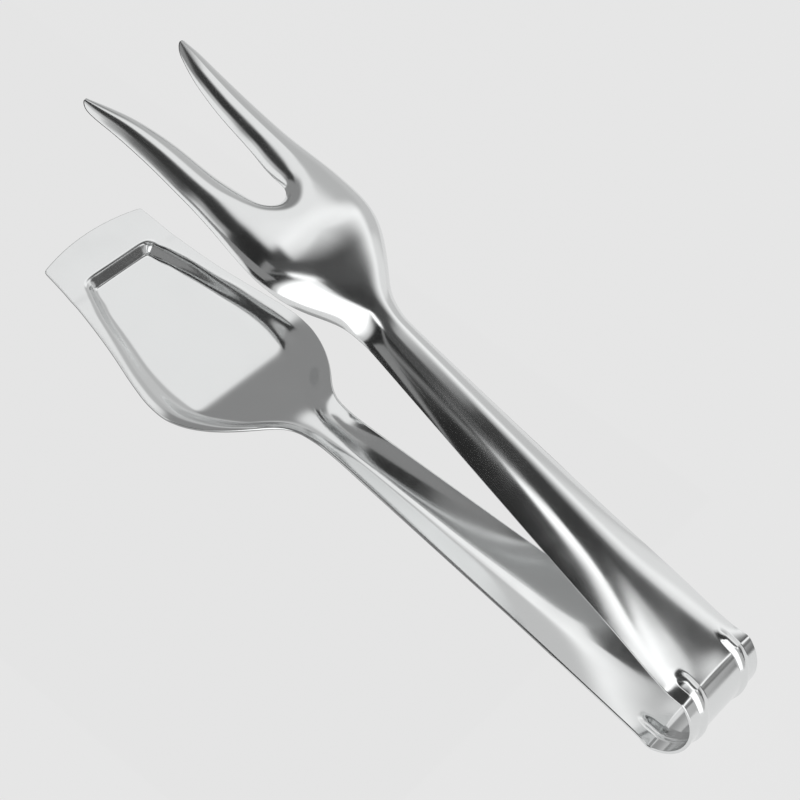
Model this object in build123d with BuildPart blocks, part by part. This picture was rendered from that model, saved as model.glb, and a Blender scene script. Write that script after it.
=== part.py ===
"""Serving tongs pressed from one strip of stainless sheet: a two-prong fork over a dished spade.

Every length is in millimetres.  The tongs lie on a table: they touch it with the underside of the
spring bow and with the back of the spade's tray.  X runs from the bow towards the tips, Z is up.
Each arm has its own plane: x from the crease towards the tip, z outwards, away from the other arm.
"""
from build123d import *
import math
import os

# ---- driving dimensions ---------------------------------------------------------------------
sheet = 0.8                  # thickness of the strip
half_opening = 6.5           # each arm leans this far from the tongs' middle plane, in degrees
rest_pitch = 9.69            # lean of the middle plane when the tongs lie on a table, in degrees
bow_at = (-92.305, 11.089)    # X and Z of the point midway between the two creases

strip_half = 13.6            # half the width of the strip round the bow
crease_radius = 3.1          # bend at each crease, to the middle of the sheet
bow_half_sweep = 58.0        # half the angle of the bow's back, in degrees
bow_radius = 11.4            # radius of the bow's back, to the middle of the sheet

bead_offset = 8.3            # the two stiffening beads run this far from the centre line
bead_half = 2.1
bead_height = 0.7
bead_run_out = 6.0           # how far a bead carries on along each arm

neck_at = 106.0              # where a handle ends and its head begins, from the crease
handle_drop = 2.0            # how far the handle's edges turn in past the strip's own plane
# distance from the crease, half width, depth of the channel, drop of the edges
handle_stations = [
    (0.0, 13.6, 0.1, 0.0),
    (7.0, 13.1, 0.5, 0.2),
    (20.0, 12.2, 1.9, 1.1),
    (40.0, 10.8, 3.6, 1.6),
    (70.0, 8.8, 4.5, 1.8),
    (neck_at, 6.4, 4.6, handle_drop),
]

fork_length = 191.5
slot_end = 143.5             # bottom of the slot between the tines
slot_radius = 5.0
# distance from the crease, half width, height of the edges, depth of the crown, and the angle
# through which the crown turns from its top to its edges
fork_body_stations = [
    (neck_at, 6.4, -handle_drop, 4.6, 72),
    (112.0, 7.8, -1.0, 4.6, 76),
    (116.0, 10.5, 0.0, 4.8, 80),
    (121.0, 14.4, 0.6, 5.2, 84),
    (127.0, 17.7, 1.3, 5.5, 88),
    (134.0, 19.0, 1.9, 5.5, 88),
    (142.0, 18.6, 1.7, 5.0, 88),
    (152.0, 17.7, 1.0, 4.2, 88),
]
# distance from the crease, tine's centre line, half width, height of the edges, depth, edge angle
tine_stations = [
    (148.0, 11.9, 6.0, 1.1, 3.4, 86),
    (158.0, 11.9, 5.1, 0.4, 2.9, 86),
    (170.0, 12.3, 4.4, -0.5, 2.5, 86),
    (180.0, 13.5, 3.4, -1.4, 2.1, 86),
    (187.0, 15.1, 2.2, -2.2, 1.5, 86),
    (fork_length, 16.1, 0.9, -2.7, 0.9, 86),
]

blade_length = 191.0
floor_depth = 8.4            # middle of the tray's flat floor, outwards from the crease, at 140
floor_trim = 0.05            # pressed off the tray's back, to leave it truly flat


def tray_floor(distance):
    """Height of the flat floor, which lies parallel to the tongs' middle plane."""
    return floor_depth - (distance - 140) * math.tan(math.radians(half_opening))


blade_corner_at = 188.6      # the front edge is an arc between two corners
blade_front_half = 17.3
# distance from the crease, half width, height of the rim, half width of the floor, width of the
# wall round it, depth of the tray, and how far the channel has turned into a tray (0 to 1)
blade_stations = [
    (neck_at, 6.4, -handle_drop, 1.0, 5.0, 4.6, 0.0),
    (112.0, 7.4, -1.6, 1.5, 5.9, 4.3, 0.2),
    (116.0, 9.8, -1.2, 3.0, 6.8, 4.2, 0.5),
    (120.0, 14.2, -0.1, 6.0, 7.4, 3.9, 0.8),
    (125.0, 18.8, 1.6, 10.5, 7.4, 3.8, 1.0),
    (130.0, 22.2, 3.1, 13.0, 7.6, 3.9, 1.0),
    (135.0, 24.4, 4.2, 15.0, 7.6, 4.0, 1.0),
    (140.0, 25.3, 4.9, 16.0, 7.6, tray_floor(140) - 4.9, 1.0),
    (144.0, 25.1, 5.0, 16.2, 7.4, tray_floor(144) - 5.0, 1.0),
    (151.0, 23.7, 4.6, 15.8, 6.4, tray_floor(151) - 4.6, 1.0),
    (161.0, 21.1, 3.5, 14.0, 5.0, tray_floor(161) - 3.5, 1.0),
    (170.0, 19.3, 2.4, 11.8, 4.6, tray_floor(170) - 2.4, 1.0),
    (175.5, 18.5, 1.7, 8.8, 4.6, tray_floor(175.5) - 1.7, 1.0),
    (178.5, 18.2, 1.4, 7.4, 4.6, 1.6, 1.0),
    (181.5, 17.9, 1.0, 6.0, 4.6, 0.2, 1.0),
    (blade_length, 17.3, 0.0, 6.0, 4.6, 0.0, 1.0),
]

# ---- planes ---------------------------------------------------------------------------------
crease_half_gap = (
    bow_radius * math.sin(math.radians(bow_half_sweep))
    + crease_radius * math.cos(math.radians(half_opening))
    - crease_radius * math.cos(math.radians(90 - bow_half_sweep))
)
origin_x, origin_z = bow_at


def middle_plane():
    """The tongs' middle plane: x towards the tips, z from the spade towards the fork."""
    pitch = math.radians(rest_pitch)
    return Plane(
        origin=(origin_x, 0, origin_z),
        x_dir=(math.cos(pitch), 0, math.sin(pitch)),
        z_dir=(-math.sin(pitch), 0, math.cos(pitch)),
    )


def arm_plane(side):
    """Plane of one arm (side +1 for the fork, -1 for the spade), its origin on the crease."""
    middle = middle_plane()
    crease = middle.from_local_coords(Vector(0, 0, side * crease_half_gap))
    pitch = math.radians(rest_pitch + side * half_opening)
    return Plane(
        origin=crease,
        x_dir=(math.cos(pitch), 0, math.sin(pitch)),
        z_dir=(-side * math.sin(pitch), 0, side * math.cos(pitch)),
    )


def station_plane(arm, distance):
    """Plane across an arm: x across the strip, y outwards."""
    return Plane(
        origin=arm.from_local_coords(Vector(distance, 0, 0)),
        x_dir=arm.y_dir,
        z_dir=arm.x_dir,
    )


fork_arm = arm_plane(1)
spade_arm = arm_plane(-1)


# ---- sections -------------------------------------------------------------------------------
def sheet_section(plane, middle_points):
    """Section of the sheet, its thickness laid about a row of points on its middle."""
    outer = []
    inner = []
    last = len(middle_points) - 1
    for index, (across, height) in enumerate(middle_points):
        before = middle_points[max(index - 1, 0)]
        after = middle_points[min(index + 1, last)]
        run = math.hypot(after[0] - before[0], after[1] - before[1])
        normal_x = (before[1] - after[1]) / run
        normal_y = (after[0] - before[0]) / run
        outer.append((across + normal_x * sheet / 2, height + normal_y * sheet / 2))
        inner.append((across - normal_x * sheet / 2, height - normal_y * sheet / 2))
    with BuildSketch(plane) as section:
        with BuildLine():
            Spline(*outer)
            Line(outer[-1], inner[-1])
            Spline(*inner[::-1])
            Line(inner[0], outer[0])
        make_face()
    return section.sketch


def crown_height(across, half_width, edge_angle):
    """Height of an arched section, from 0 at its edges to 1 at its top."""
    turn = math.radians(edge_angle)
    reach = min(abs(across) / half_width, 1) * math.sin(turn)
    return (math.sqrt(1 - reach**2) - math.cos(turn)) / (1 - math.cos(turn))


def crown_points(centre, half_width, edge_height, depth, edge_angle, count=13):
    """Middle of an arched section, its points evenly spread round the arch."""
    turn = math.radians(edge_angle)
    points = []
    for index in range(count):
        across = half_width * math.sin(turn * (2 * index / (count - 1) - 1)) / math.sin(turn)
        height = edge_height + depth * crown_height(across, half_width, edge_angle)
        points.append((centre + across, height))
    return points


def channel_points(half_width, depth, drop):
    """Middle of a handle's section: one circular arc, its edges turned in by drop."""
    edge_angle = 2 * math.degrees(math.atan(depth / half_width))
    return crown_points(0, half_width, -drop, depth, edge_angle)


def dish_points(half_width, rim_height, floor_half, wall, depth, spread, count=21):
    """Middle of the spade's section: an arch that spreads into a floor, walls and a flat rim."""
    points = []
    for index in range(count):
        across = half_width * (2 * index / (count - 1) - 1)
        climb = min(max((abs(across) - floor_half) / wall, 0), 1)
        tray = 1 - climb * climb * (3 - 2 * climb)
        arch = crown_height(across, half_width, 72)
        points.append((across, rim_height + depth * (arch + (tray - arch) * spread)))
    return points


# ---- spring bow -----------------------------------------------------------------------------
bow_frame = Plane(
    origin=middle_plane().origin,
    x_dir=middle_plane().x_dir,
    z_dir=(0, -1, 0),
)
crease_turn = 90 - bow_half_sweep - half_opening
arm_lean = math.radians(half_opening)

with BuildPart() as spring_bow:
    with BuildLine(bow_frame) as bow_path:
        upper_bend = JernArc(
            start=(0, crease_half_gap),
            tangent=(-math.cos(arm_lean), -math.sin(arm_lean)),
            radius=crease_radius,
            arc_size=crease_turn,
        )
        back = JernArc(
            start=upper_bend @ 1,
            tangent=upper_bend % 1,
            radius=bow_radius,
            arc_size=2 * bow_half_sweep,
        )
        JernArc(start=back @ 1, tangent=back % 1, radius=crease_radius, arc_size=crease_turn)
    with BuildSketch(station_plane(fork_arm, 0)):
        with BuildLine():
            half = sheet / 2
            bead_edge = bead_offset - bead_half
            groove_edge = bead_edge + half / 2
            bead_far = bead_offset + bead_half
            groove_far = bead_far - half / 2
            Line((-strip_half, half), (-bead_far, half))
            ThreePointArc((-bead_far, half), (-bead_offset, half + bead_height), (-bead_edge, half))
            Line((-bead_edge, half), (bead_edge, half))
            ThreePointArc((bead_edge, half), (bead_offset, half + bead_height), (bead_far, half))
            Line((bead_far, half), (strip_half, half))
            Line((strip_half, half), (strip_half, -half))
            Line((strip_half, -half), (groove_far, -half))
            ThreePointArc(
                (groove_far, -half), (bead_offset, bead_height - half), (groove_edge, -half)
            )
            Line((groove_edge, -half), (-groove_edge, -half))
            ThreePointArc(
                (-groove_edge, -half), (-bead_offset, bead_height - half), (-groove_far, -half)
            )
            Line((-groove_far, -half), (-strip_half, -half))
            Line((-strip_half, -half), (-strip_half, half))
        make_face()
    sweep(path=bow_path.wire())
spring_bow.part.label = "spring_bow"


# ---- handles --------------------------------------------------------------------------------
def make_handle(arm, name):
    """One tapered channel handle with the run-out of the two beads at its crease end."""
    sections = []
    for distance, half_width, depth, drop in handle_stations:
        points = channel_points(half_width, depth, drop)
        sections.append(sheet_section(station_plane(arm, distance), points))
    with BuildPart() as handle:
        loft(sections)
        with BuildSketch(arm):
            with Locations((0, bead_offset), (0, -bead_offset)):
                SlotOverall(2 * bead_run_out, 2 * bead_half)
            with Locations((-bead_run_out, 0)):
                Rectangle(2 * bead_run_out, 4 * strip_half, mode=Mode.SUBTRACT)
        extrude(amount=sheet / 2 + bead_height)
    handle.part.label = name
    return handle


fork_handle = make_handle(fork_arm, "fork_handle")
spade_handle = make_handle(spade_arm, "spade_handle")

# ---- fork head ------------------------------------------------------------------------------
with BuildPart() as fork_head:
    body_sections = []
    for distance, half_width, edge_height, depth, edge_angle in fork_body_stations:
        points = crown_points(0, half_width, edge_height, depth, edge_angle)
        body_sections.append(sheet_section(station_plane(fork_arm, distance), points))
    loft(body_sections)
    with BuildSketch(fork_arm) as slot:
        with Locations((slot_end + slot_radius, 0)):
            Circle(slot_radius)
        with BuildLine():
            Polyline(
                (slot_end + slot_radius, slot_radius),
                (slot_end + 4 * slot_radius, slot_radius * 1.3),
                (slot_end + 4 * slot_radius, -slot_radius * 1.3),
                (slot_end + slot_radius, -slot_radius),
                close=True,
            )
        make_face()
    extrude(amount=20, both=True, mode=Mode.SUBTRACT)
    for side in (-1, 1):
        tine_sections = []
        for distance, centre, half_width, edge_height, depth, edge_angle in tine_stations:
            points = crown_points(side * centre, half_width, edge_height, depth, edge_angle)
            tine_sections.append(sheet_section(station_plane(fork_arm, distance), points))
        loft(tine_sections)
fork_head.part.label = "fork_head"

# ---- spade blade ----------------------------------------------------------------------------
with BuildPart() as spade_blade:
    dish_sections = []
    for distance, *shape in blade_stations:
        dish_sections.append(sheet_section(station_plane(spade_arm, distance), dish_points(*shape)))
    loft(dish_sections, ruled=True)
    floor_back = Plane(
        origin=spade_arm.from_local_coords(Vector(140, 0, floor_depth + sheet / 2 - floor_trim)),
        x_dir=middle_plane().x_dir,
        z_dir=-middle_plane().z_dir,
    )
    with BuildSketch(floor_back):
        Rectangle(2 * blade_length, 2 * blade_length)
    extrude(amount=5, mode=Mode.SUBTRACT)
    with BuildSketch(spade_arm) as blade_plan:
        with BuildLine():
            Polyline(
                (blade_corner_at, blade_front_half),
                (neck_at - 5, 40),
                (neck_at - 5, -40),
                (blade_corner_at, -blade_front_half),
            )
            ThreePointArc(
                (blade_corner_at, -blade_front_half),
                (blade_length, 0),
                (blade_corner_at, blade_front_half),
            )
        make_face()
    extrude(amount=30, both=True, mode=Mode.INTERSECT)
spade_blade.part.label = "spade_blade"

# ---- export ---------------------------------------------------------------------------------
os.makedirs("parts", exist_ok=True)
for piece in (spring_bow, fork_handle, spade_handle, fork_head, spade_blade):
    export_step(piece.part, f"parts/{piece.part.label}.step")
    box = piece.part.bounding_box()
    print(piece.part.label, round(piece.part.volume, 1), box.min, box.max)
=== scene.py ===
"""Pressed steel serving tongs, a two-prong fork closing onto a dished spade, in a plain studio.

The tongs are one strip of sheet.  Each half, from the middle of the spring bow to a tip, is laid
out as a coarse net on the middle of the sheet, made smooth by subdivision, given its beads, and
then thickened.  The finished mesh is cut into named pieces that meet edge to edge.

Sizes are in millimetres, as in the CAD source, and become metres in piece().  On each arm s runs
from the crease towards the tip, y across the strip, and h outwards, away from the other arm.
"""

import math

import bmesh
import bpy
import numpy as np
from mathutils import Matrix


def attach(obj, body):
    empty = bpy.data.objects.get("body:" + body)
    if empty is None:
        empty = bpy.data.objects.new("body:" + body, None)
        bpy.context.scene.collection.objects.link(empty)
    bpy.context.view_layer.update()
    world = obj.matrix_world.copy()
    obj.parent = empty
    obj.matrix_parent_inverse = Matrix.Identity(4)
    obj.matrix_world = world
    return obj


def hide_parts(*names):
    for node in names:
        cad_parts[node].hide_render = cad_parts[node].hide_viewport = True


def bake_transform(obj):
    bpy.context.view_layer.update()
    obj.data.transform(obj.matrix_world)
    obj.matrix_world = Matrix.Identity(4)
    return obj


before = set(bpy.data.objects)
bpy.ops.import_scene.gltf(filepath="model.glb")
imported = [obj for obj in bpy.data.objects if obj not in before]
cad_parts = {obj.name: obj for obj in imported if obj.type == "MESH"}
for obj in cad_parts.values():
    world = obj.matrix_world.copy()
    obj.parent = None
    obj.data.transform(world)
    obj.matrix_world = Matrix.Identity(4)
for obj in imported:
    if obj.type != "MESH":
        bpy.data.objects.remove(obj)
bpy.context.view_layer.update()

# ---- sizes shared with the CAD source ---------------------------------------------------------
SHEET = 0.8
HALF_OPENING = math.radians(6.5)
REST_PITCH = math.radians(9.69)
BOW_AT = (-92.305, 11.089)

STRIP_HALF = 13.6
CREASE_RADIUS = 3.1
BOW_HALF_SWEEP = math.radians(58.0)
BOW_RADIUS = 11.4

BEAD_OFFSET = 8.3
BEAD_HALF = 1.9
BEAD_HEIGHT = 0.64
BEAD_RUN_OUT = 6.0
BEAD_END = 3.2               # length over which a bead fades out
BEAD_END_WIDTH = 0.7         # how wide its blunt end stays, as a share of its width

NECK_AT = 106.0
# distance, half width, height of the edges, depth of the channel
HANDLE = [
    (0.0, 13.6, 0.0, 0.1),
    (3.5, 13.35, -0.7, 1.05),
    (8.0, 13.05, -0.85, 1.35),
    (20.0, 12.2, -1.1, 2.1),
    (40.0, 10.8, -1.6, 3.6),
    (70.0, 8.8, -1.8, 4.5),
    (NECK_AT, 6.4, -2.0, 4.6),
]

FORK_LENGTH = 191.5
SLOT_END = 143.5
SLOT_RADIUS = 5.0
# distance, half width, height of the ridge, drop to the outer edge, angle there in degrees
FORK_HEAD = [
    (NECK_AT, 6.4, 2.6, 4.6, 72),
    (112.0, 7.8, 3.4, 4.6, 76),
    (116.0, 10.5, 4.5, 4.8, 80),
    (121.0, 14.4, 5.65, 5.2, 84),
    (127.0, 17.7, 6.95, 5.5, 88),
    (131.0, 18.7, 7.32, 5.5, 88),
    (134.0, 19.0, 7.34, 5.5, 88),
    (142.0, 18.6, 6.7, 5.0, 88),
    (148.0, 17.9, 5.3, 3.9, 87),
    (158.0, 17.0, 3.3, 2.9, 86),
    (170.0, 16.7, 2.0, 2.5, 86),
    (180.0, 16.9, 0.7, 2.1, 86),
    (187.0, 17.3, -0.72, 1.5, 86),
    (FORK_LENGTH, 17.0, -1.84, 0.9, 86),
]
# distance, half width of the slot
SLOT = [
    (SLOT_END + SLOT_RADIUS, 5.0),
    (153.0, 5.6),
    (158.0, 6.6),
    (170.0, 7.9),
    (180.0, 10.1),
    (187.0, 12.9),
    (FORK_LENGTH, 15.2),
]
BODY_FLAT = 0.5              # how much flatter than an arc the middle of the fork's body is
TINE_BEVEL = 0.36            # how far the tines' section is from an arc to two straight slopes
SPADE_STRAIGHT = 0.55        # how far the spade arm's channel is from an arc to a blunt V
CHANNEL_BLUNT = 0.16         # how rounded that V is at its middle
TINE_BLUNT = 0.12            # the same for a tine's ridge
RIM_ANGLE = math.radians(86)   # angle of the slot's turned-down rim
TRAY_ANGLE = math.radians(72)  # angle of the channel's edge where it spreads into the tray
EDGE_FOLD = 0.45             # how far the fork arm's edges turn down further beside the bow
RIM_WIDTH = 5.0              # reach and drop of the rim that turns down round the slot's end
RIM_DROP = 2.8

BLADE_LENGTH = 191.0
BLADE_CORNER_AT = 188.6
FLOOR_DEPTH = 8.35           # middle of the spade's floor, outwards from the crease, at 140


def tray_floor(distance):
    """Height of the spade's flat floor."""
    return FLOOR_DEPTH - (distance - 140) * math.tan(HALF_OPENING)


# distance, half width, rim height, half width of the floor, width of the wall, depth, spread
BLADE = [
    (NECK_AT, 6.4, -2.0, 1.0, 5.0, 4.6, 0.0),
    (112.0, 7.4, -1.6, 1.5, 5.9, 4.3, 0.2),
    (116.0, 9.8, -1.2, 3.0, 6.8, 4.2, 0.5),
    (120.0, 14.2, -0.1, 6.0, 7.4, 3.9, 0.8),
    (125.0, 18.8, 1.6, 10.5, 7.4, 3.8, 1.0),
    (130.0, 22.2, 3.1, 13.0, 7.6, 3.9, 1.0),
    (135.0, 24.4, 4.2, 15.0, 7.6, 4.0, 1.0),
    (140.0, 25.3, 4.9, 16.0, 7.6, tray_floor(140) - 5.0, 1.0),
    (144.0, 25.1, 5.0, 16.2, 7.4, tray_floor(144) - 5.0, 1.0),
    (151.0, 23.7, 4.6, 15.8, 6.4, tray_floor(151) - 4.6, 1.0),
    (161.0, 21.1, 3.5, 14.0, 5.0, tray_floor(161) - 3.5, 1.0),
    (170.0, 19.3, 2.4, 12.2, 4.0, tray_floor(170) - 2.4, 1.0),
    (175.5, 18.5, 1.7, 10.4, 3.4, tray_floor(175.5) - 1.7, 1.0),
    (178.4, 18.2, 1.5, 9.4, 3.2, tray_floor(178.4) - 1.6, 1.0),
    (179.6, 18.1, 1.3, 8.8, 3.2, 1.1, 1.0),
    (180.8, 18.0, 1.1, 8.4, 3.2, 0.0, 1.0),
    (BLADE_LENGTH, 17.3, 0.0, 8.0, 3.2, 0.0, 1.0),
]

# ---- sizes of the visible sheet ---------------------------------------------------------------
COLUMNS = 13                 # faces of the net from the centre line to an edge
TINE_COLUMNS = 8             # faces of the net from a tine's ridge to the slot
SUBDIVISIONS = 2
EDGE_ROUND = 0.22            # how far the rounded edge bulges past the flat of the sheet
EDGE_STEPS = 6               # flats round that edge
ROW_SAMPLES = 241            # points along which a row of the net is measured out
SPINE_START = 132.0          # where the ridges of the two tines meet on the centre line
SPINE_END = 153.0            # where each ridge reaches the middle of its tine
BODY_SIDE = 126.0            # the net's rows from SPINE_START meet the outer edge here
BODY_ROWS = 8                # rows of the fork's body before SPINE_START
FAN_ROWS = 9                 # rows between SPINE_START and SPINE_END
TIP_START = 189.5            # a tine's rounded tip starts here
TIP_REACH = 2.02             # and would close this much further on
BOW_SEAM = 10.0              # the bow's visible sheet runs this far along each arm


# ---- shape functions --------------------------------------------------------------------------
def smooth(table, column, at):
    """A table's column at a distance, by a monotone cubic through its rows."""
    table = np.array(table, float)
    x, y = table[:, 0], table[:, column]
    step = np.diff(x)
    slope = np.diff(y) / step
    turn = np.zeros(len(x))
    turn[0], turn[-1] = slope[0], slope[-1]
    for i in range(1, len(x) - 1):
        if slope[i - 1] * slope[i] > 0:
            a = 2 * step[i] + step[i - 1]
            b = step[i] + 2 * step[i - 1]
            turn[i] = (a + b) / (a / slope[i - 1] + b / slope[i])
    at = np.clip(at, x[0], x[-1])
    i = np.clip(np.searchsorted(x, at) - 1, 0, len(x) - 2)
    t = (at - x[i]) / step[i]
    near = (1 + 2 * t) * (1 - t) ** 2 * y[i] + t * (1 - t) ** 2 * step[i] * turn[i]
    far = t * t * (3 - 2 * t) * y[i + 1] + t * t * (t - 1) * step[i] * turn[i + 1]
    return near + far


def ease(value):
    """0 to 1 with level ends."""
    value = np.clip(value, 0, 1)
    return value * value * (3 - 2 * value)


def crown(reach, turn):
    """Height of an arch that turns through an angle from its top, at 0, to its foot, at 1."""
    reach = np.clip(np.abs(reach), 0, 1) * np.sin(turn)
    return (np.sqrt(1 - reach**2) - np.cos(turn)) / (1 - np.cos(turn))


def roof(reach, blunt):
    """Height of two straight slopes from their rounded ridge, at 0, to the foot, at 1."""
    rise = np.sqrt(np.clip(np.abs(reach), 0, 1) ** 2 + blunt**2) - blunt
    return 1 - rise / (math.sqrt(1 + blunt**2) - blunt)


def channel_height(s, y, straight=0.0, fold=0.0):
    """Middle of a handle's sheet: a channel, its section between an arc and a blunt V."""
    half, edge, depth = (smooth(HANDLE, k, s) for k in (1, 2, 3))
    arch = crown(y / half, 2 * np.arctan(depth / half))
    share = straight * ease((s - 2) / 16) * ease((NECK_AT - s) / 10)
    turned = fold * ease(s / 5) * ease((24 - s) / 16) * np.abs(y / half) ** 6
    return edge + depth * (arch + (roof(y / half, CHANNEL_BLUNT) - arch) * share) - turned


def fork_height(s, y):
    """Middle of the fork head's sheet, which turns down at its outer edge and round the slot."""
    half, ridge, drop, turn = (smooth(FORK_HEAD, k, s) for k in (1, 2, 3, 4))
    turn = np.radians(turn)
    slot = smooth(SLOT, 1, s)
    tine_half = (half - slot) / 2
    reach_out = half + (tine_half - half) * ease((s - 138) / 17)
    outside = (half - np.abs(y)) / reach_out
    before = SLOT_END + SLOT_RADIUS - s
    from_slot = np.where(before > 0, np.hypot(before, y) - SLOT_RADIUS, np.abs(y) - slot)
    share = ease((s - 143) / 12)
    reach_in = RIM_WIDTH + (tine_half - RIM_WIDTH) * share
    drop_in = RIM_DROP + (drop - RIM_DROP) * share
    inside = np.clip(from_slot / reach_in, 0, 1)
    flat = 1 + BODY_FLAT * ease((s - 110) / 10) * (1 - ease((s - 130) / 16))
    down_out = (1 - np.clip(outside, 0, 1)) ** flat
    bevel = TINE_BEVEL * share
    shape_out = crown(down_out, turn) * (1 - bevel) + roof(down_out, TINE_BLUNT) * bevel
    down_in = 1 - inside
    shape_in = crown(down_in, RIM_ANGLE) * (1 - bevel) + roof(down_in, TINE_BLUNT) * bevel
    return ridge - drop * (1 - shape_out) - drop_in * (1 - shape_in)


def spade_height(s, y):
    """Middle of the spade's sheet: a channel that spreads into a tray with a flat rim."""
    half, rim, floor_half, wall, depth, spread = (smooth(BLADE, k, s) for k in range(1, 7))
    tray = 1 - ease((np.abs(y) - floor_half) / wall)
    arch = crown(y / half, TRAY_ANGLE)
    return rim + depth * (arch + (tray - arch) * spread)


def arm_height(head, straight, fold):
    """The height function of a whole arm."""

    def height(s, y):
        channel = channel_height(np.minimum(s, NECK_AT), y, straight, fold)
        return np.where(s < NECK_AT, channel, head(s, y))

    return height


fork_arm_height = arm_height(fork_height, 0.0, EDGE_FOLD)
spade_arm_height = arm_height(spade_height, SPADE_STRAIGHT, 0.0)


# ---- places -----------------------------------------------------------------------------------
def crease_half_gap():
    """Half the distance between the two creases."""
    bend = math.cos(HALF_OPENING) - math.cos(math.pi / 2 - BOW_HALF_SWEEP)
    return BOW_RADIUS * math.sin(BOW_HALF_SWEEP) + CREASE_RADIUS * bend


def middle_to_frame(x, y, z):
    """Points given about the tongs' middle plane, in the row frame, in millimetres."""
    cos, sin = math.cos(REST_PITCH), math.sin(REST_PITCH)
    return np.stack([BOW_AT[0] + x * cos - z * sin, y + 0 * x, BOW_AT[1] + x * sin + z * cos], -1)


def arm_points(side, s, y, h):
    """Points of an arm (side 1 for the fork, -1 for the spade) in the row frame."""
    cos, sin = math.cos(HALF_OPENING), math.sin(HALF_OPENING)
    across = crease_half_gap() + s * sin + h * cos
    return middle_to_frame(s * cos - h * sin, y, side * across)


def bow_points(side, run, y):
    """Middle of the bow's sheet; run is measured from the middle of its back."""
    back = BOW_RADIUS * BOW_HALF_SWEEP
    turn_in = math.pi / 2 - HALF_OPENING
    bend_x = CREASE_RADIUS * math.cos(turn_in)
    bend_z = crease_half_gap() - CREASE_RADIUS * math.sin(turn_in)
    cos, sin = math.cos(BOW_HALF_SWEEP), math.sin(BOW_HALF_SWEEP)
    centre_x = bend_x + (BOW_RADIUS - CREASE_RADIUS) * cos
    angle = run / BOW_RADIUS
    x = centre_x - BOW_RADIUS * np.cos(angle)
    z = BOW_RADIUS * np.sin(angle)
    if run > back:
        angle = BOW_HALF_SWEEP + (run - back) / CREASE_RADIUS
        x = bend_x - CREASE_RADIUS * math.cos(angle)
        z = bend_z + CREASE_RADIUS * math.sin(angle)
    return middle_to_frame(x + 0 * y, y, side * z)


# ---- nets -------------------------------------------------------------------------------------
def spread_evenly(line, count):
    """count + 1 places along a row of points, the same length apart."""
    length = np.concatenate([[0], np.cumsum(np.linalg.norm(np.diff(line, axis=0), axis=1))])
    at = np.linspace(0, length[-1], count + 1)
    return np.stack([np.interp(at, length, line[:, k]) for k in range(line.shape[1])], -1)


def net_row(height, start, end, count):
    """One row of the net, from a place (s, y) on the ridge to one on an edge, laid on the sheet."""
    reach = np.sin(np.linspace(0, math.pi / 2, ROW_SAMPLES))
    s = start[0] + (end[0] - start[0]) * reach
    y = start[1] + (end[1] - start[1]) * reach
    return spread_evenly(np.stack([s, y, height(s, y)], -1), count)


class Net:
    """Points and four-sided faces of one half of the strip, mirrored about y = 0."""

    def __init__(self):
        self.points = []
        self.places = {}
        self.faces = []

    def vertex(self, point):
        key = tuple(int(round(v * 2000)) for v in point)
        if key not in self.places:
            self.places[key] = len(self.points)
            self.points.append(tuple(point))
        return self.places[key]

    def patch(self, rows):
        """Faces between rows of points in the row frame, with their mirror image."""
        for flip in (1, -1):
            ids = [[self.vertex((p[0], flip * p[1], p[2])) for p in row] for row in rows]
            for near, far in zip(ids[:-1], ids[1:]):
                for k in range(len(near) - 1):
                    face = (near[k], near[k + 1], far[k + 1], far[k])
                    if len(set(face)) > 2:
                        self.faces.append(tuple(dict.fromkeys(face[::flip])))


def bow_and_handle_rows(side, height):
    """Rows to the neck from a little past the middle of the bow's back."""
    y = np.linspace(0, STRIP_HALF, COLUMNS + 1)
    back = BOW_RADIUS * BOW_HALF_SWEEP
    bend = CREASE_RADIUS * (math.pi / 2 - HALF_OPENING - BOW_HALF_SWEEP)
    runs = list(back * np.arange(-3, 9) / 8) + [back + bend * k for k in (0.35, 0.7)]
    rows = [bow_points(side, run, y) for run in runs]
    for s in (0, 0.5, 1.2, 2.2, 3.6, 5.4, 7.6, 10, 13, *np.arange(16.5, NECK_AT, 4.475)):
        half = smooth(HANDLE, 1, s)
        row = net_row(height, (s, 0), (s, half), COLUMNS)
        rows.append(arm_points(side, *row.T))
    return rows


def ridge_place(share):
    """A place on the line from SPINE_START on the centre line to the middle of a tine."""
    turn = share * math.pi / 2
    middle = (smooth(FORK_HEAD, 1, SPINE_END) + smooth(SLOT, 1, SPINE_END)) / 2
    s = SPINE_START + (SPINE_END - SPINE_START) * (1 - math.cos(turn))
    return s, middle * math.sin(turn)


def slot_place(share):
    """A place on the slot's edge, from its end on the centre line to SPINE_END."""
    quarter = SLOT_RADIUS * math.pi / 2
    straight = SPINE_END - SLOT_END - SLOT_RADIUS
    run = share * (quarter + straight)
    if run < quarter:
        turn = run / SLOT_RADIUS
        reach = SLOT_RADIUS * math.cos(turn)
        return SLOT_END + SLOT_RADIUS - reach, SLOT_RADIUS * math.sin(turn)
    s = SLOT_END + SLOT_RADIUS + run - quarter
    return s, smooth(SLOT, 1, s)


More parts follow.
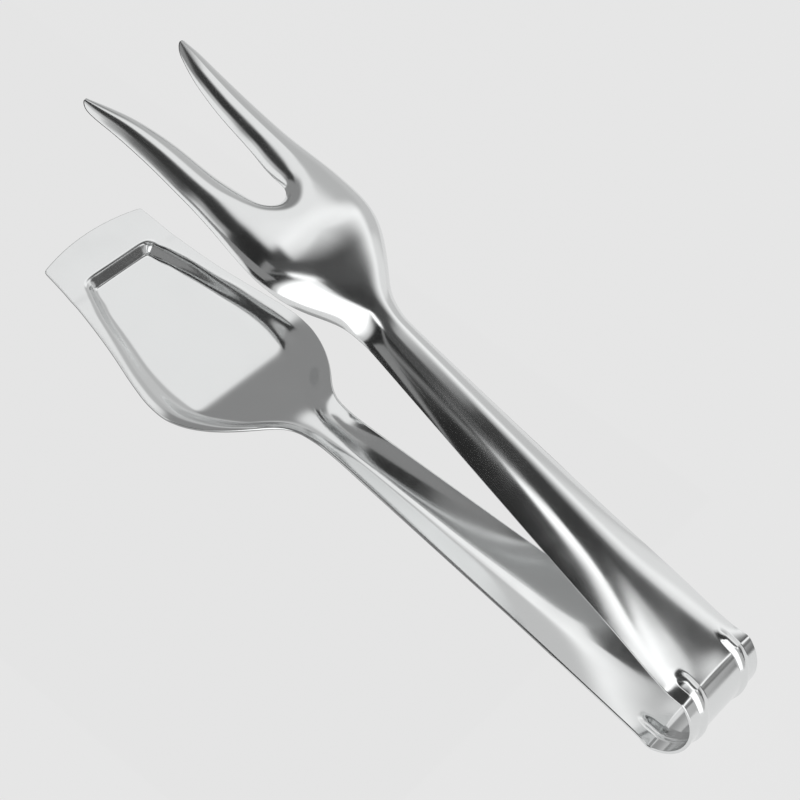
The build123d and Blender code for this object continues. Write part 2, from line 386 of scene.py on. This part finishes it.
def fork_net(side):
    """The half of the strip that ends in the fork."""
    height = fork_arm_height
    outer_rows = bow_and_handle_rows(side, height)

    def outer_row(start, edge_at):
        end = (edge_at, smooth(FORK_HEAD, 1, edge_at))
        outer_rows.append(arm_points(side, *net_row(height, start, end, COLUMNS).T))

    for k in range(BODY_ROWS):
        share = k / BODY_ROWS
        edge_at = NECK_AT + (BODY_SIDE - NECK_AT) * share
        centre_at = NECK_AT + (SPINE_START - NECK_AT) * share
        outer_row((centre_at, 0), edge_at)
    slot_rows = []

    def slot_row(start, end):
        slot_rows.append(arm_points(side, *net_row(height, start, end, TINE_COLUMNS).T))

    for k in range(FAN_ROWS + 1):
        share = k / FAN_ROWS
        outer_row(ridge_place(share), BODY_SIDE + (SPINE_END - BODY_SIDE) * share)
        slot_row(ridge_place(share), slot_place(share))
    for s in (*np.linspace(SPINE_END, 187, 15)[1:], 189.0, 190.4, 191.1, FORK_LENGTH):
        half, slot = smooth(FORK_HEAD, 1, s), smooth(SLOT, 1, s)
        middle = (half + slot) / 2
        past = max(s - TIP_START, 0) / TIP_REACH
        blunt = math.sqrt(1 - past**2)
        half, slot = (middle + (v - middle) * blunt for v in (half, slot))
        row = net_row(height, (s, middle), (s, half), COLUMNS)
        outer_rows.append(arm_points(side, *row.T))
        slot_row((s, middle), (s, slot))
    net = Net()
    net.patch(outer_rows)
    net.patch([row[::-1] for row in slot_rows])
    return net


def spade_net(side):
    """The half of the strip that ends in the spade."""
    rows = bow_and_handle_rows(side, spade_arm_height)
    front = (*np.arange(175.5, 183.3, 0.5), 184.5, 186.5, 188.2, 189.7, BLADE_LENGTH)
    for s in (*np.arange(NECK_AT, 140, 2.0), *np.arange(140, 174, 2.5), *front):
        half = smooth(BLADE, 1, s)
        swept = (BLADE_LENGTH - BLADE_CORNER_AT) * ease((s - 170) / (BLADE_LENGTH - 170))
        y = half * np.linspace(0, 1, ROW_SAMPLES)
        along = s - swept * (y / half) ** 2
        line = np.stack([along, y, spade_arm_height(along, y)], -1)
        rows.append(arm_points(side, *spread_evenly(line, COLUMNS).T))
    net = Net()
    net.patch(rows)
    return net


# ---- sheet ------------------------------------------------------------------------------------
def subdivided(net):
    """The net's smooth surface: points and four-sided faces as arrays."""
    mesh = bpy.data.meshes.new("net")
    mesh.from_pydata(net.points, [], net.faces)
    holder = bpy.data.objects.new("net", mesh)
    bpy.context.scene.collection.objects.link(holder)
    modifier = holder.modifiers.new("smooth", "SUBSURF")
    modifier.levels = SUBDIVISIONS
    modifier.quality = 6
    shown = holder.evaluated_get(bpy.context.evaluated_depsgraph_get()).data
    points = np.zeros((len(shown.vertices), 3), np.float32)
    shown.vertices.foreach_get("co", points.ravel())
    faces = np.array([tuple(p.vertices) for p in shown.polygons])
    bpy.data.objects.remove(holder)
    bpy.data.meshes.remove(mesh)
    return points.astype(float), faces


def point_normals(points, faces):
    """Unit normals of the points, from the faces' diagonals."""
    a, b, c, d = (points[faces[:, k]] for k in range(4))
    across = np.cross(c - a, d - b)
    normals = np.zeros_like(points)
    for k in range(4):
        np.add.at(normals, faces[:, k], across)
    return normals / np.maximum(np.linalg.norm(normals, axis=1, keepdims=True), 1e-12)


def arm_places(side, points):
    """s, y and h of points given in the row frame."""
    x, y, z = points[:, 0] - BOW_AT[0], points[:, 1], points[:, 2] - BOW_AT[1]
    cos, sin = math.cos(REST_PITCH), math.sin(REST_PITCH)
    along, up = x * cos + z * sin, side * (z * cos - x * sin) - crease_half_gap()
    cos, sin = math.cos(HALF_OPENING), math.sin(HALF_OPENING)
    return along * cos + up * sin, y, up * cos - along * sin


def past_middle(side, points):
    """How far points lie beyond the tongs' middle plane, away from their own arm."""
    x, z = points[:, 0] - BOW_AT[0], points[:, 2] - BOW_AT[1]
    return -side * (z * math.cos(REST_PITCH) - x * math.sin(REST_PITCH))


def bead_lift(side, points):
    """How far the two beads stand out of the sheet at each point."""
    s, y, _ = arm_places(side, points)
    fade = ease((BEAD_RUN_OUT - s) / BEAD_END)
    half = BEAD_HALF * (BEAD_END_WIDTH + (1 - BEAD_END_WIDTH) * fade)
    inside = np.clip(1 - (np.abs(np.abs(y) - BEAD_OFFSET) / half) ** 2, 0, 1)
    return BEAD_HEIGHT * fade * inside**1.5


def rim_loops(faces):
    """Closed rows of points round the edges of a surface, in the direction of its faces."""
    edges = {}
    for face in faces:
        for k in range(4):
            edges[(face[k], face[(k + 1) % 4])] = True
    free = {a: b for a, b in edges if (b, a) not in edges}
    loops = []
    while free:
        first, here = next(iter(free.items()))
        loop = [first]
        del free[first]
        while here != first:
            loop.append(here)
            here = free.pop(here)
        loops.append(np.array(loop))
    return loops


def thickened(points, faces, side):
    """Both faces of the sheet and its rounded edge: points, normals and faces."""
    normals = point_normals(points, faces)
    outwards = arm_points(side, 0.0, 0.0, 1.0) - arm_points(side, 0.0, 0.0, 0.0)
    if (normals @ outwards).sum() < 0:
        faces, normals = faces[:, ::-1], -normals
    points = points + normals * bead_lift(side, points)[:, None]
    normals = point_normals(points, faces)
    half = SHEET / 2
    loops = rim_loops(faces)
    rims = []
    for loop in loops:
        tangent = np.roll(points[loop], -1, 0) - np.roll(points[loop], 1, 0)
        away = np.cross(tangent, normals[loop])
        away /= np.linalg.norm(away, axis=1, keepdims=True)
        points[loop] -= away * EDGE_ROUND
        rims.append(away)
    count = len(points)
    all_points = [points + normals * half, points - normals * half]
    all_normals = [normals, -normals]
    all_faces = [faces, faces[:, ::-1] + count]
    total = 2 * count
    for loop, away in zip(loops, rims):
        rings = [loop]
        for step in range(1, EDGE_STEPS):
            turn = math.pi * step / EDGE_STEPS
            up = normals[loop] * math.cos(turn)
            all_points.append(points[loop] + up * half + away * EDGE_ROUND * math.sin(turn))
            tilted = up / half + away * math.sin(turn) / EDGE_ROUND
            all_normals.append(tilted / np.linalg.norm(tilted, axis=1, keepdims=True))
            rings.append(np.arange(total, total + len(loop)))
            total += len(loop)
        rings.append(loop + count)
        for upper, lower in zip(rings[:-1], rings[1:]):
            all_faces.append(np.stack([upper, lower, np.roll(lower, -1), np.roll(upper, -1)], -1))
    return np.concatenate(all_points), np.concatenate(all_normals), np.concatenate(all_faces)


def piece(name, points, normals, faces, material):
    """A named mesh of some of the sheet's faces, shaded with the whole sheet's normals."""
    used, index = np.unique(faces, return_inverse=True)
    mesh = bpy.data.meshes.new(name)
    mesh.from_pydata((points[used] / 1000).tolist(), [], index.reshape(faces.shape).tolist())
    mesh.validate()
    mesh.polygons.foreach_set("use_smooth", [True] * len(mesh.polygons))
    mesh.normals_split_custom_set_from_vertices(normals[used].tolist())
    mesh.materials.append(material)
    made = bpy.data.objects.new(name, mesh)
    bpy.context.scene.collection.objects.link(made)
    return made


# ---- materials --------------------------------------------------------------------------------
def add_node(tree, kind, **values):
    """A new node, laid out after the others in rows of ten."""
    made = tree.nodes.new(kind)
    row, column = divmod(len(tree.nodes) - 1, 10)
    made.location = (column * 200, -row * 300)
    for key, value in values.items():
        setattr(made, key, value)
    return made


def polished_steel():
    """Stainless sheet polished nearly to a mirror, with faint lengthwise polishing lines."""
    material = bpy.data.materials.new("polished_steel")
    material.use_nodes = True
    tree = material.node_tree
    surface = tree.nodes["Principled BSDF"]
    surface.inputs["Base Color"].default_value = (0.80, 0.81, 0.81, 1)
    surface.inputs["Metallic"].default_value = 1.0
    place = add_node(tree, "ShaderNodeTexCoord")
    stretch = add_node(tree, "ShaderNodeMapping")
    stretch.inputs["Scale"].default_value = (18, 1100, 1100)
    lines = add_node(tree, "ShaderNodeTexNoise")
    lines.inputs["Scale"].default_value = 1.0
    lines.inputs["Detail"].default_value = 3.0
    cloud = add_node(tree, "ShaderNodeTexNoise")
    cloud.inputs["Scale"].default_value = 90.0
    cloud.inputs["Detail"].default_value = 3.0
    rough = add_node(tree, "ShaderNodeMapRange")
    rough.inputs["From Min"].default_value = 0.3
    rough.inputs["From Max"].default_value = 0.7
    rough.inputs["To Min"].default_value = 0.10
    rough.inputs["To Max"].default_value = 0.17
    tree.links.new(place.outputs["Object"], stretch.inputs["Vector"])
    tree.links.new(place.outputs["Object"], cloud.inputs["Vector"])
    tree.links.new(stretch.outputs["Vector"], lines.inputs["Vector"])
    tree.links.new(cloud.outputs["Fac"], rough.inputs["Value"])
    tree.links.new(rough.outputs["Result"], surface.inputs["Roughness"])
    fine = add_node(tree, "ShaderNodeBump")
    fine.inputs["Strength"].default_value = 0.05
    fine.inputs["Distance"].default_value = 0.00002
    tree.links.new(lines.outputs["Fac"], fine.inputs["Height"])
    tree.links.new(fine.outputs["Normal"], surface.inputs["Normal"])
    return material


def floor_material():
    """Pale matt floor that glows evenly and takes a faint shadow."""
    material = bpy.data.materials.new("floor_paint")
    material.use_nodes = True
    surface = material.node_tree.nodes["Principled BSDF"]
    surface.inputs["Base Color"].default_value = (0.04, 0.04, 0.04, 1)
    surface.inputs["Roughness"].default_value = 0.9
    surface.inputs["Specular IOR Level"].default_value = 0.0
    surface.inputs["Emission Color"].default_value = (0.8, 0.8, 0.8, 1)
    surface.inputs["Emission Strength"].default_value = 0.96
    return material


# ---- build the tongs --------------------------------------------------------------------------
steel = polished_steel()


def build_arm(side, net, arm, bow_name, handle_name, head_name, handle_node, head_node):
    """The visible pieces of one half of the strip, from the middle of the bow to a tip."""
    points, normals, faces = thickened(*subdivided(net), side)
    faces = faces[past_middle(side, points)[faces].mean(axis=1) < 0]
    s = arm_places(side, points)[0]
    along = s[faces].mean(axis=1)
    shares = {
        bow_name: along < BOW_SEAM,
        handle_name: (along >= BOW_SEAM) & (along < NECK_AT),
        head_name: along >= NECK_AT,
    }
    made = {}
    for name, chosen in shares.items():
        made[name] = piece(name, points, normals, faces[chosen], steel)
    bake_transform(made[bow_name])
    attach(made[handle_name], arm)
    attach(made[head_name], arm)
    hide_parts("spring_bow")
    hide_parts(handle_node)
    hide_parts(head_node)


build_arm(1, fork_net(1), "fork_arm", "bow_fork_half",
          "fork_handle_sheet", "fork_head_sheet", "fork_handle", "fork_head")
build_arm(-1, spade_net(-1), "spade_arm", "bow_spade_half",
          "spade_handle_sheet", "spade_blade_sheet", "spade_handle", "spade_blade")

# ---- studio -----------------------------------------------------------------------------------
FLOOR_REACH = 6.0
floor_mesh = bpy.data.meshes.new("floor")
floor_mesh.from_pydata(
    [(FLOOR_REACH * x, FLOOR_REACH * y, 0) for x, y in ((-1, -1), (1, -1), (1, 1), (-1, 1))],
    [],
    [(0, 1, 2, 3)],
)
floor_mesh.materials.append(floor_material())
floor = bpy.data.objects.new("floor", floor_mesh)
bpy.context.scene.collection.objects.link(floor)


def paint_card(tree, light, along, across, card):
    """The light on the tent with one card painted over it, its edges soft."""
    low_x, high_x, low_y, high_y, soft, brightness, lean = card
    leaned = add_node(tree, "ShaderNodeMath", operation="MULTIPLY_ADD")
    tree.links.new(across, leaned.inputs[0])
    leaned.inputs[1].default_value = lean
    tree.links.new(along, leaned.inputs[2])
    mask = None
    for value, edge, inwards in (
        (leaned.outputs["Value"], low_x, 1),
        (leaned.outputs["Value"], high_x, -1),
        (across, low_y, 1),
        (across, high_y, -1),
    ):
        rise = add_node(tree, "ShaderNodeMapRange", interpolation_type="SMOOTHSTEP")
        rise.inputs["From Min"].default_value = edge - soft * inwards
        rise.inputs["From Max"].default_value = edge + soft * inwards
        tree.links.new(value, rise.inputs["Value"])
        if mask is None:
            mask = rise.outputs["Result"]
        else:
            both = add_node(tree, "ShaderNodeMath", operation="MULTIPLY")
            tree.links.new(mask, both.inputs[0])
            tree.links.new(rise.outputs["Result"], both.inputs[1])
            mask = both.outputs["Value"]
    mix = add_node(tree, "ShaderNodeMix", data_type="FLOAT")
    tree.links.new(mask, mix.inputs["Factor"])
    tree.links.new(light, mix.inputs["A"])
    mix.inputs["B"].default_value = brightness
    return mix.outputs["Result"]


def tent_material(cards):
    """Light from the tent's wall: cards placed in degrees from overhead, towards +x and +y."""
    material = bpy.data.materials.new("tent_light")
    material.use_nodes = True
    material.cycles.emission_sampling = "NONE"
    tree = material.node_tree
    tree.nodes.clear()
    place = add_node(tree, "ShaderNodeTexCoord")
    unit = add_node(tree, "ShaderNodeVectorMath", operation="NORMALIZE")
    split = add_node(tree, "ShaderNodeSeparateXYZ")
    level = add_node(tree, "ShaderNodeVectorMath", operation="MULTIPLY")
    level.inputs[1].default_value = (1, 1, 0)
    sideways = add_node(tree, "ShaderNodeVectorMath", operation="LENGTH")
    angle = add_node(tree, "ShaderNodeMath", operation="ARCTAN2")
    ratio = add_node(tree, "ShaderNodeMath", operation="DIVIDE")
    degrees = add_node(tree, "ShaderNodeMath", operation="DEGREES")
    tree.links.new(place.outputs["Object"], unit.inputs[0])
    tree.links.new(unit.outputs["Vector"], split.inputs["Vector"])
    tree.links.new(unit.outputs["Vector"], level.inputs[0])
    tree.links.new(level.outputs["Vector"], sideways.inputs[0])
    tree.links.new(sideways.outputs["Value"], angle.inputs[0])
    tree.links.new(split.outputs["Z"], angle.inputs[1])
    tree.links.new(angle.outputs["Value"], degrees.inputs[0])
    tree.links.new(degrees.outputs["Value"], ratio.inputs[0])
    tree.links.new(sideways.outputs["Value"], ratio.inputs[1])
    sides = []
    for axis in ("X", "Y"):
        side = add_node(tree, "ShaderNodeMath", operation="MULTIPLY")
        tree.links.new(split.outputs[axis], side.inputs[0])
        tree.links.new(ratio.outputs["Value"], side.inputs[1])
        sides.append(side.outputs["Value"])
    plain = add_node(tree, "ShaderNodeValue")
    plain.outputs["Value"].default_value = TENT_LIGHT
    light = plain.outputs["Value"]
    for card in cards:
        light = paint_card(tree, light, *sides, card)
    glow = add_node(tree, "ShaderNodeEmission")
    tree.links.new(light, glow.inputs["Strength"])
    out = add_node(tree, "ShaderNodeOutputMaterial")
    tree.links.new(glow.outputs["Emission"], out.inputs["Surface"])
    return material


# ---- light tent and flags ---------------------------------------------------------------------
TENT_RADIUS = 0.4
TENT_LIGHT = 0.62
# low x, high x, low y, high y, softness, brightness, and lean: how much x shifts with each degree of
# y.  Later cards are painted over earlier ones.  The camera's side is +y and the tips' end +x.
CARDS = [
    (-60, -13, -115, -48, 5, 0.85, 0),          # pale, low on the far side
    (10, 60, -66, -45, 5, 0.54, 0),             # grey, far side of the tips
    (4, 34, -42, -4, 5, 0.93, 0),               # white, above the tips
    (35, 140, -50, 48, 7, 0.28, 0),             # dark grey, the whole tips' end
    (-32, 9, -58, -4, 5, 1.15, 0),              # bright, overhead on the far side
    (-26, 17, -2, 120, 3, 0.025, -0.12),        # black, the camera's side
    (14, 44, -3, 16, 3, 0.04, 0),               # black, beside it towards the tips
    (19, 90, 26, 110, 3, 0.95, -0.1),           # white, camera's side of the tips
    (-7, 7, -11, 4, 3, 0.06, 0),                # black, straight overhead
    (-30, -4, -46, -4, 12, 0.07, 0),            # soft dark patch on the bright card
    (-160, -27, -6, 140, 4, 1.5, 0),            # bright, camera's side of the bow
    (-25, -17, -24, 8, 3, 1.6, -0.54),          # brightest, a leaning streak
    (-22.5, -19.5, 10, 40, 1.5, 0.28, -0.54),   # grey, the streak's thin end
    (-18, -1, -41, 14, 3, 0.08, -0.54),         # black streak beside the bright one
    (-160, -30, -27, -8, 2, 1.3, 0),            # bright, the bow's end
    (-160, -33, -160, -8, 1.5, 0.52, 0),        # grey, the bow's far side
    (-46, -38, -40, -22, 3, 1.3, 0),            # bright strip on it
    (-64, -49, -42, -28, 3, 0.2, 0),            # dark strip below that
    (-76, -40, -64, -42, 3, 0.1, 0),            # dark, low on the far side of the bow
    (-34, -27, -46, -34, 2, 0.1, 0),            # small dark patch
]
# places of two opposite corners in metres and brightness: hung over the spade's handle, two hung
# on the camera's side, and one lying under the tongs
FLAGS = [
    ((-0.115, -0.086, 0.14), (-0.034, -0.014, 0.14), 0.05),
    ((-0.006, 0.06, 0.25), (0.03, 0.26, 0.25), 0.26),
    ((0.0, 0.066, 0.12), (0.09, 0.26, 0.12), 0.26),
    # painted shade: this grey sheet under the tongs stands in for the shade they would cast on the
    # floor, seen only in their reflections
    ((-0.06, -0.06, 0.0003), (0.2, 0.1, 0.0003), 0.36),
]

tent_mesh = bpy.data.meshes.new("light_tent")
shell = bmesh.new()
bmesh.ops.create_uvsphere(shell, u_segments=96, v_segments=48, radius=TENT_RADIUS)
below = [v for v in shell.verts if v.co.z < -0.001]
bmesh.ops.delete(shell, geom=below, context="VERTS")
shell.to_mesh(tent_mesh)
shell.free()
tent_mesh.materials.append(tent_material(CARDS))
tent = bpy.data.objects.new("light_tent", tent_mesh)
bpy.context.scene.collection.objects.link(tent)
tent.visible_camera = False


def hang_flag(name, near, far, brightness):
    """A level sheet that only the tongs see, to shape what they reflect; the one lying under the
    tongs is painted shade.
    """
    material = bpy.data.materials.new(name)
    material.use_nodes = True
    material.cycles.emission_sampling = "NONE"
    surface = material.node_tree.nodes["Principled BSDF"]
    surface.inputs["Base Color"].default_value = (0.0, 0.0, 0.0, 1)
    surface.inputs["Specular IOR Level"].default_value = 0.0
    surface.inputs["Emission Color"].default_value = (1, 1, 1, 1)
    surface.inputs["Emission Strength"].default_value = brightness
    mesh = bpy.data.meshes.new(name)
    corners = [
        (near[0], near[1], near[2]),
        (far[0], near[1], near[2]),
        (far[0], far[1], near[2]),
        (near[0], far[1], near[2]),
    ]
    mesh.from_pydata(corners, [], [(0, 1, 2, 3)])
    mesh.materials.append(material)
    made = bpy.data.objects.new(name, mesh)
    bpy.context.scene.collection.objects.link(made)
    made.visible_camera = False
    made.visible_shadow = False


for number, (near, far, brightness) in enumerate(FLAGS):
    hang_flag("flag_" + str(number + 1), near, far, brightness)

world = bpy.data.worlds.new("studio")
world.use_nodes = True
world.node_tree.nodes["Background"].inputs["Color"].default_value = (0.79, 0.79, 0.79, 1)
bpy.context.scene.world = world

# ---- camera -----------------------------------------------------------------------------------
CAMERA_PLACE = (-0.1736, 0.3174, 0.4264)
CAMERA_TURN = (41.689, -9.575, -140.685)
LENS = 103.47
camera_data = bpy.data.cameras.new("camera")
camera_data.sensor_width = 36.0
camera_data.lens = LENS
camera_data.clip_start = 0.01
camera = bpy.data.objects.new("camera", camera_data)
camera.location = CAMERA_PLACE
camera.rotation_euler = [math.radians(turn) for turn in CAMERA_TURN]
bpy.context.scene.collection.objects.link(camera)
bpy.context.scene.camera = camera
bpy.context.scene.view_settings.view_transform = "Standard"
